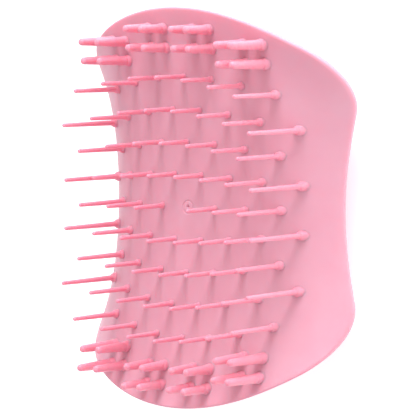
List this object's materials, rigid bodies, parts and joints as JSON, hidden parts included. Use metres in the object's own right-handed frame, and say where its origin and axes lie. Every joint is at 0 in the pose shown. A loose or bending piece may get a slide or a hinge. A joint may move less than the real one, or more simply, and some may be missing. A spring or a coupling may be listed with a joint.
{
  "type": "scalp massager brush",
  "caption": "Palm-held scalp brush with a waisted arched plate, staggered fine flexible teeth and thick tooth clusters at both ends over a hollow back shell.",
  "frame": {"origin": "middle of the flat palm patch under the back shell, the brush lying on its back", "axes": "+Z out of the teeth, +Y along the brush's long axis towards its front end, +X across it"},
  "size_m": [0.0702, 0.0906, 0.0393],
  "materials": {
    "plate_plastic": "satin moulded plastic",
    "shell_plastic": "satin moulded plastic",
    "tooth_plastic": "satin moulded flexible plastic"
  },
  "bodies": {
    "brush_body": {"tooth_plate": "plate_plastic", "back_shell": "shell_plastic"},
    "fine_column_01": {"fine_teeth_column_01": "tooth_plastic"},
    "fine_column_02": {"fine_teeth_column_02": "tooth_plastic"},
    "fine_column_03": {"fine_teeth_column_03": "tooth_plastic"},
    "fine_column_04": {"fine_teeth_column_04": "tooth_plastic"},
    "fine_column_05": {"fine_teeth_column_05": "tooth_plastic"},
    "fine_column_06": {"fine_teeth_column_06": "tooth_plastic"},
    "fine_column_07": {"fine_teeth_column_07": "tooth_plastic"},
    "fine_column_08": {"fine_teeth_column_08": "tooth_plastic"},
    "fine_column_09": {"fine_teeth_column_09": "tooth_plastic"},
    "fine_column_10": {"fine_teeth_column_10": "tooth_plastic"},
    "fine_column_11": {"fine_teeth_column_11": "tooth_plastic"},
    "fine_column_12": {"fine_teeth_column_12": "tooth_plastic"},
    "fine_column_13": {"fine_teeth_column_13": "tooth_plastic"},
    "fine_column_14": {"fine_teeth_column_14": "tooth_plastic"},
    "fine_column_15": {"fine_teeth_column_15": "tooth_plastic"},
    "thick_front_left_inner": {"thick_teeth_front_left_inner": "tooth_plastic"},
    "thick_front_left_outer": {"thick_teeth_front_left_outer": "tooth_plastic"},
    "thick_front_right_inner": {"thick_teeth_front_right_inner": "tooth_plastic"},
    "thick_front_right_outer": {"thick_teeth_front_right_outer": "tooth_plastic"},
    "thick_rear_left_inner": {"thick_teeth_rear_left_inner": "tooth_plastic"},
    "thick_rear_left_outer": {"thick_teeth_rear_left_outer": "tooth_plastic"},
    "thick_rear_right_inner": {"thick_teeth_rear_right_inner": "tooth_plastic"},
    "thick_rear_right_outer": {"thick_teeth_rear_right_outer": "tooth_plastic"}
  },
  "joints": [
    {"name": "fine_column_01_lean", "type": "hinge", "parent": "brush_body", "child": "fine_column_01", "pos_m": [-0.02625, 0, 0.02038], "axis": [0, 1, 0], "range_deg": [-10, 10], "stiffness_Nm_per_rad": 0.00074},
    {"name": "fine_column_02_lean", "type": "hinge", "parent": "brush_body", "child": "fine_column_02", "pos_m": [-0.0225, 0, 0.02379], "axis": [0, 1, 0], "range_deg": [-10, 10], "stiffness_Nm_per_rad": 0.001},
    {"name": "fine_column_03_lean", "type": "hinge", "parent": "brush_body", "child": "fine_column_03", "pos_m": [-0.01875, 0, 0.02525], "axis": [0, 1, 0], "range_deg": [-10, 10], "stiffness_Nm_per_rad": 0.00087},
    {"name": "fine_column_04_lean", "type": "hinge", "parent": "brush_body", "child": "fine_column_04", "pos_m": [-0.015, 0, 0.02693], "axis": [0, 1, 0], "range_deg": [-10, 10], "stiffness_Nm_per_rad": 0.0012},
    {"name": "fine_column_05_lean", "type": "hinge", "parent": "brush_body", "child": "fine_column_05", "pos_m": [-0.01125, 0, 0.02733], "axis": [0, 1, 0], "range_deg": [-10, 10], "stiffness_Nm_per_rad": 0.001},
    {"name": "fine_column_06_lean", "type": "hinge", "parent": "brush_body", "child": "fine_column_06", "pos_m": [-0.0075, 0, 0.02817], "axis": [0, 1, 0], "range_deg": [-10, 10], "stiffness_Nm_per_rad": 0.0013},
    {"name": "fine_column_07_lean", "type": "hinge", "parent": "brush_body", "child": "fine_column_07", "pos_m": [-0.00375, 0, 0.02803], "axis": [0, 1, 0], "range_deg": [-10, 10], "stiffness_Nm_per_rad": 0.0011},
    {"name": "fine_column_08_lean", "type": "hinge", "parent": "brush_body", "child": "fine_column_08", "pos_m": [0, 0, 0.0287], "axis": [0, 1, 0], "range_deg": [-10, 10], "stiffness_Nm_per_rad": 0.0011},
    {"name": "fine_column_09_lean", "type": "hinge", "parent": "brush_body", "child": "fine_column_09", "pos_m": [0.00375, 0, 0.02803], "axis": [0, 1, 0], "range_deg": [-10, 10], "stiffness_Nm_per_rad": 0.0011},
    {"name": "fine_column_10_lean", "type": "hinge", "parent": "brush_body", "child": "fine_column_10", "pos_m": [0.0075, 0, 0.02817], "axis": [0, 1, 0], "range_deg": [-10, 10], "stiffness_Nm_per_rad": 0.0013},
    {"name": "fine_column_11_lean", "type": "hinge", "parent": "brush_body", "child": "fine_column_11", "pos_m": [0.01125, 0, 0.02733], "axis": [0, 1, 0], "range_deg": [-10, 10], "stiffness_Nm_per_rad": 0.001},
    {"name": "fine_column_12_lean", "type": "hinge", "parent": "brush_body", "child": "fine_column_12", "pos_m": [0.015, 0, 0.02693], "axis": [0, 1, 0], "range_deg": [-10, 10], "stiffness_Nm_per_rad": 0.0012},
    {"name": "fine_column_13_lean", "type": "hinge", "parent": "brush_body", "child": "fine_column_13", "pos_m": [0.01875, 0, 0.02525], "axis": [0, 1, 0], "range_deg": [-10, 10], "stiffness_Nm_per_rad": 0.00087},
    {"name": "fine_column_14_lean", "type": "hinge", "parent": "brush_body", "child": "fine_column_14", "pos_m": [0.0225, 0, 0.02379], "axis": [0, 1, 0], "range_deg": [-10, 10], "stiffness_Nm_per_rad": 0.001},
    {"name": "fine_column_15_lean", "type": "hinge", "parent": "brush_body", "child": "fine_column_15", "pos_m": [0.02625, 0, 0.02038], "axis": [0, 1, 0], "range_deg": [-10, 10], "stiffness_Nm_per_rad": 0.00074},
    {"name": "thick_front_left_inner_lean", "type": "hinge", "parent": "brush_body", "child": "thick_front_left_inner", "pos_m": [-0.00635, 0.0382, 0.03131], "axis": [0, 1, 0], "range_deg": [-8, 8], "stiffness_Nm_per_rad": 0.02},
    {"name": "thick_front_left_outer_lean", "type": "hinge", "parent": "brush_body", "child": "thick_front_left_outer", "pos_m": [-0.0189, 0.035, 0.02881], "axis": [0, 1, 0], "range_deg": [-8, 8], "stiffness_Nm_per_rad": 0.016},
    {"name": "thick_front_right_inner_lean", "type": "hinge", "parent": "brush_body", "child": "thick_front_right_inner", "pos_m": [0.00635, 0.0382, 0.03131], "axis": [0, 1, 0], "range_deg": [-8, 8], "stiffness_Nm_per_rad": 0.02},
    {"name": "thick_front_right_outer_lean", "type": "hinge", "parent": "brush_body", "child": "thick_front_right_outer", "pos_m": [0.0189, 0.035, 0.02881], "axis": [0, 1, 0], "range_deg": [-8, 8], "stiffness_Nm_per_rad": 0.016},
    {"name": "thick_rear_left_inner_lean", "type": "hinge", "parent": "brush_body", "child": "thick_rear_left_inner", "pos_m": [-0.00635, -0.0382, 0.03131], "axis": [0, 1, 0], "range_deg": [-8, 8], "stiffness_Nm_per_rad": 0.02},
    {"name": "thick_rear_left_outer_lean", "type": "hinge", "parent": "brush_body", "child": "thick_rear_left_outer", "pos_m": [-0.0189, -0.035, 0.02881], "axis": [0, 1, 0], "range_deg": [-8, 8], "stiffness_Nm_per_rad": 0.016},
    {"name": "thick_rear_right_inner_lean", "type": "hinge", "parent": "brush_body", "child": "thick_rear_right_inner", "pos_m": [0.00635, -0.0382, 0.03131], "axis": [0, 1, 0], "range_deg": [-8, 8], "stiffness_Nm_per_rad": 0.02},
    {"name": "thick_rear_right_outer_lean", "type": "hinge", "parent": "brush_body", "child": "thick_rear_right_outer", "pos_m": [0.0189, -0.035, 0.02881], "axis": [0, 1, 0], "range_deg": [-8, 8], "stiffness_Nm_per_rad": 0.016}
  ]
}
